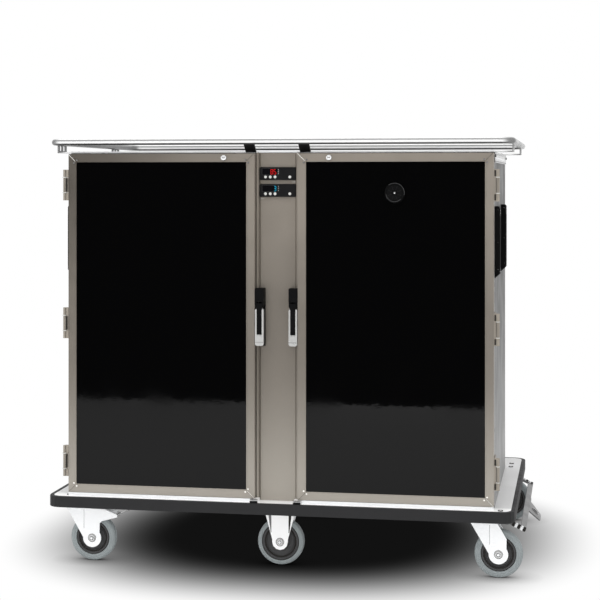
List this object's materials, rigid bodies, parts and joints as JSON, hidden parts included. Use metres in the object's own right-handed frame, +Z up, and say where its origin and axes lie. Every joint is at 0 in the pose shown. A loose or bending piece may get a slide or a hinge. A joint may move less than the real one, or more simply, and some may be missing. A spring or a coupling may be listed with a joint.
{
  "type": "food transport cart",
  "caption": "Twin-compartment insulated food transport cart with hinged doors, rotary vent, controllers, top rail, bumper platform, swivel and fixed casters and a tow bar.",
  "frame": {"origin": "on the floor, at the middle of the whole cart's box, tow bar included", "axes": "+Z up, -Y out of the doors towards the person who loads the cart, +X towards the tow bar"},
  "size_m": [1.6722, 1.045, 1.459],
  "materials": {
    "brushed_stainless": "satin, brushed lengthwise",
    "polished_stainless": "polished",
    "satin_grey_wall": "fine satin",
    "champagne_aluminium": "satin anodised, warm grey",
    "gloss_black_panel": "high gloss",
    "bright_zinc": "bright zinc plate",
    "satin_silver": "satin",
    "black_plastic": "fine moulded grain",
    "button_plastic": "semi-gloss",
    "dark_rubber": "matt",
    "grey_tyre": "matt non-marking rubber"
  },
  "bodies": {
    "root": {"deck": "brushed_stainless", "bumper": "dark_rubber", "centre_column": "champagne_aluminium", "roof_cap": "polished_stainless", "top_rail": "polished_stainless", "cooling_unit": "satin_grey_wall", "cabinet_left": "satin_grey_wall", "cabinet_right": "satin_grey_wall", "rack_left_column": "brushed_stainless", "rack_left_end": "brushed_stainless", "rack_right_column": "brushed_stainless", "rack_right_end": "brushed_stainless", "latch_body_left": "black_plastic", "latch_body_right": "black_plastic", "grip_left_front": "black_plastic", "grip_left_rear": "black_plastic", "grip_right_front": "black_plastic", "grip_right_rear": "black_plastic", "controller_upper": "black_plastic", "controller_lower": "black_plastic"},
    "door_left": {"door_left_frame": "champagne_aluminium", "door_left_panel": "gloss_black_panel", "door_left_core": "brushed_stainless", "door_left_gasket": "dark_rubber"},
    "door_right": {"door_right_frame": "champagne_aluminium", "door_right_panel": "gloss_black_panel", "door_right_core": "brushed_stainless", "door_right_gasket": "dark_rubber"},
    "latch_lever_left": {"latch_lever_left": "satin_silver"},
    "latch_lever_right": {"latch_lever_right": "satin_silver"},
    "cam_lock_left": {"cam_lock_left": "polished_stainless"},
    "cam_lock_right": {"cam_lock_right": "polished_stainless"},
    "vent_disc": {"vent_disc": "black_plastic"},
    "button_upper_1": {"button_upper_1": "button_plastic"},
    "button_upper_2": {"button_upper_2": "button_plastic"},
    "button_upper_3": {"button_upper_3": "button_plastic"},
    "button_upper_4": {"button_upper_4": "button_plastic"},
    "button_lower_1": {"button_lower_1": "button_plastic"},
    "button_lower_2": {"button_lower_2": "button_plastic"},
    "button_lower_3": {"button_lower_3": "button_plastic"},
    "button_lower_4": {"button_lower_4": "button_plastic"},
    "caster_front_left": {"swivel_fork_front_left": "bright_zinc"},
    "caster_front_right": {"swivel_fork_front_right": "bright_zinc"},
    "caster_rear_left": {"swivel_fork_rear_left": "bright_zinc"},
    "caster_rear_right": {"swivel_fork_rear_right": "bright_zinc"},
    "wheel_front_left": {"hub_front_left": "black_plastic", "tyre_front_left": "grey_tyre"},
    "wheel_front_right": {"hub_front_right": "black_plastic", "tyre_front_right": "grey_tyre"},
    "wheel_rear_left": {"hub_rear_left": "black_plastic", "tyre_rear_left": "grey_tyre"},
    "wheel_rear_right": {"hub_rear_right": "black_plastic", "tyre_rear_right": "grey_tyre"},
    "wheel_middle_front": {"hub_middle_front": "black_plastic", "tyre_middle_front": "grey_tyre"},
    "wheel_middle_rear": {"hub_middle_rear": "black_plastic", "tyre_middle_rear": "grey_tyre"},
    "brake_pedal_front_left": {"brake_pedal_front_left": "satin_silver"},
    "brake_pedal_rear_left": {"brake_pedal_rear_left": "satin_silver"},
    "tow_bar": {"tow_bar": "bright_zinc"}
  },
  "joints": [
    {"name": "door_left_swing", "type": "hinge", "parent": "root", "child": "door_left", "pos_m": [-0.77982, -0.4929, 0.824], "axis": [0, 0, -1], "range_deg": [0, 262]},
    {"name": "door_right_swing", "type": "hinge", "parent": "root", "child": "door_right", "pos_m": [0.70818, -0.4929, 0.824], "axis": [0, 0, 1], "range_deg": [0, 262]},
    {"name": "latch_lever_left_pull", "type": "hinge", "parent": "root", "child": "latch_lever_left", "pos_m": [-0.09352, -0.4889, 0.893], "axis": [-1, 0, 0], "range_deg": [0, 60]},
    {"name": "latch_lever_right_pull", "type": "hinge", "parent": "root", "child": "latch_lever_right", "pos_m": [0.02188, -0.4889, 0.893], "axis": [-1, 0, 0], "range_deg": [0, 60]},
    {"name": "cam_lock_left_turn", "type": "hinge", "parent": "door_left", "child": "cam_lock_left", "pos_m": [-0.21652, -0.4952, 1.39275], "axis": [0, 1, 0], "range_deg": [0, 90]},
    {"name": "cam_lock_right_turn", "type": "hinge", "parent": "door_right", "child": "cam_lock_right", "pos_m": [0.14488, -0.4952, 1.39275], "axis": [0, 1, 0], "range_deg": [0, 90]},
    {"name": "vent_disc_turn", "type": "hinge", "parent": "door_right", "child": "vent_disc", "pos_m": [0.36618, -0.4934, 1.274], "axis": [0, 1, 0], "range_deg": [0, 22.5]},
    {"name": "button_upper_1_press", "type": "slide", "parent": "root", "child": "button_upper_1", "axis": [0, 1, 0], "range_m": [0, 0.0012], "stiffness_N_per_m": 1500, "springref_m": -0.0005},
    {"name": "button_upper_2_press", "type": "slide", "parent": "root", "child": "button_upper_2", "axis": [0, 1, 0], "range_m": [0, 0.0012], "stiffness_N_per_m": 1500, "springref_m": -0.0005},
    {"name": "button_upper_3_press", "type": "slide", "parent": "root", "child": "button_upper_3", "axis": [0, 1, 0], "range_m": [0, 0.0012], "stiffness_N_per_m": 1500, "springref_m": -0.0005},
    {"name": "button_upper_4_press", "type": "slide", "parent": "root", "child": "button_upper_4", "axis": [0, 1, 0], "range_m": [0, 0.0012], "stiffness_N_per_m": 1500, "springref_m": -0.0005},
    {"name": "button_lower_1_press", "type": "slide", "parent": "root", "child": "button_lower_1", "axis": [0, 1, 0], "range_m": [0, 0.0012], "stiffness_N_per_m": 1500, "springref_m": -0.0005},
    {"name": "button_lower_2_press", "type": "slide", "parent": "root", "child": "button_lower_2", "axis": [0, 1, 0], "range_m": [0, 0.0012], "stiffness_N_per_m": 1500, "springref_m": -0.0005},
    {"name": "button_lower_3_press", "type": "slide", "parent": "root", "child": "button_lower_3", "axis": [0, 1, 0], "range_m": [0, 0.0012], "stiffness_N_per_m": 1500, "springref_m": -0.0005},
    {"name": "button_lower_4_press", "type": "slide", "parent": "root", "child": "button_lower_4", "axis": [0, 1, 0], "range_m": [0, 0.0012], "stiffness_N_per_m": 1500, "springref_m": -0.0005},
    {"name": "caster_front_left_swivel", "type": "hinge", "parent": "root", "child": "caster_front_left", "pos_m": [-0.73382, -0.4475, 0.187], "axis": [0, 0, 1], "continuous": true},
    {"name": "caster_front_right_swivel", "type": "hinge", "parent": "root", "child": "caster_front_right", "pos_m": [0.66218, -0.4475, 0.187], "axis": [0, 0, 1], "continuous": true},
    {"name": "caster_rear_left_swivel", "type": "hinge", "parent": "root", "child": "caster_rear_left", "pos_m": [-0.73382, 0.4475, 0.187], "axis": [0, 0, 1], "continuous": true},
    {"name": "caster_rear_right_swivel", "type": "hinge", "parent": "root", "child": "caster_rear_right", "pos_m": [0.66218, 0.4475, 0.187], "axis": [0, 0, 1], "continuous": true},
    {"name": "wheel_front_left_roll", "type": "hinge", "parent": "caster_front_left", "child": "wheel_front_left", "pos_m": [-0.68782, -0.4475, 0.08], "axis": [0, 1, 0], "continuous": true},
    {"name": "wheel_front_right_roll", "type": "hinge", "parent": "caster_front_right", "child": "wheel_front_right", "pos_m": [0.70818, -0.4475, 0.08], "axis": [0, 1, 0], "continuous": true},
    {"name": "wheel_rear_left_roll", "type": "hinge", "parent": "caster_rear_left", "child": "wheel_rear_left", "pos_m": [-0.68782, 0.4475, 0.08], "axis": [0, 1, 0], "continuous": true},
    {"name": "wheel_rear_right_roll", "type": "hinge", "parent": "caster_rear_right", "child": "wheel_rear_right", "pos_m": [0.70818, 0.4475, 0.08], "axis": [0, 1, 0], "continuous": true},
    {"name": "wheel_middle_front_roll", "type": "hinge", "parent": "root", "child": "wheel_middle_front", "pos_m": [-0.03582, -0.3975, 0.08], "axis": [0, 1, 0], "continuous": true},
    {"name": "wheel_middle_rear_roll", "type": "hinge", "parent": "root", "child": "wheel_middle_rear", "pos_m": [-0.03582, 0.3975, 0.08], "axis": [0, 1, 0], "continuous": true},
    {"name": "brake_pedal_front_left_press", "type": "hinge", "parent": "caster_front_left", "child": "brake_pedal_front_left", "pos_m": [-0.60382, -0.4475, 0.15775], "axis": [0, 1, 0], "range_deg": [0, 15]},
    {"name": "brake_pedal_rear_left_press", "type": "hinge", "parent": "caster_rear_left", "child": "brake_pedal_rear_left", "pos_m": [-0.60382, 0.4475, 0.15775], "axis": [0, 1, 0], "range_deg": [0, 15]},
    {"name": "tow_bar_swing", "type": "hinge", "parent": "root", "child": "tow_bar", "pos_m": [0.73418, 0, 0.1755], "axis": [0, 1, 0], "range_deg": [-35, 45]}
  ]
}
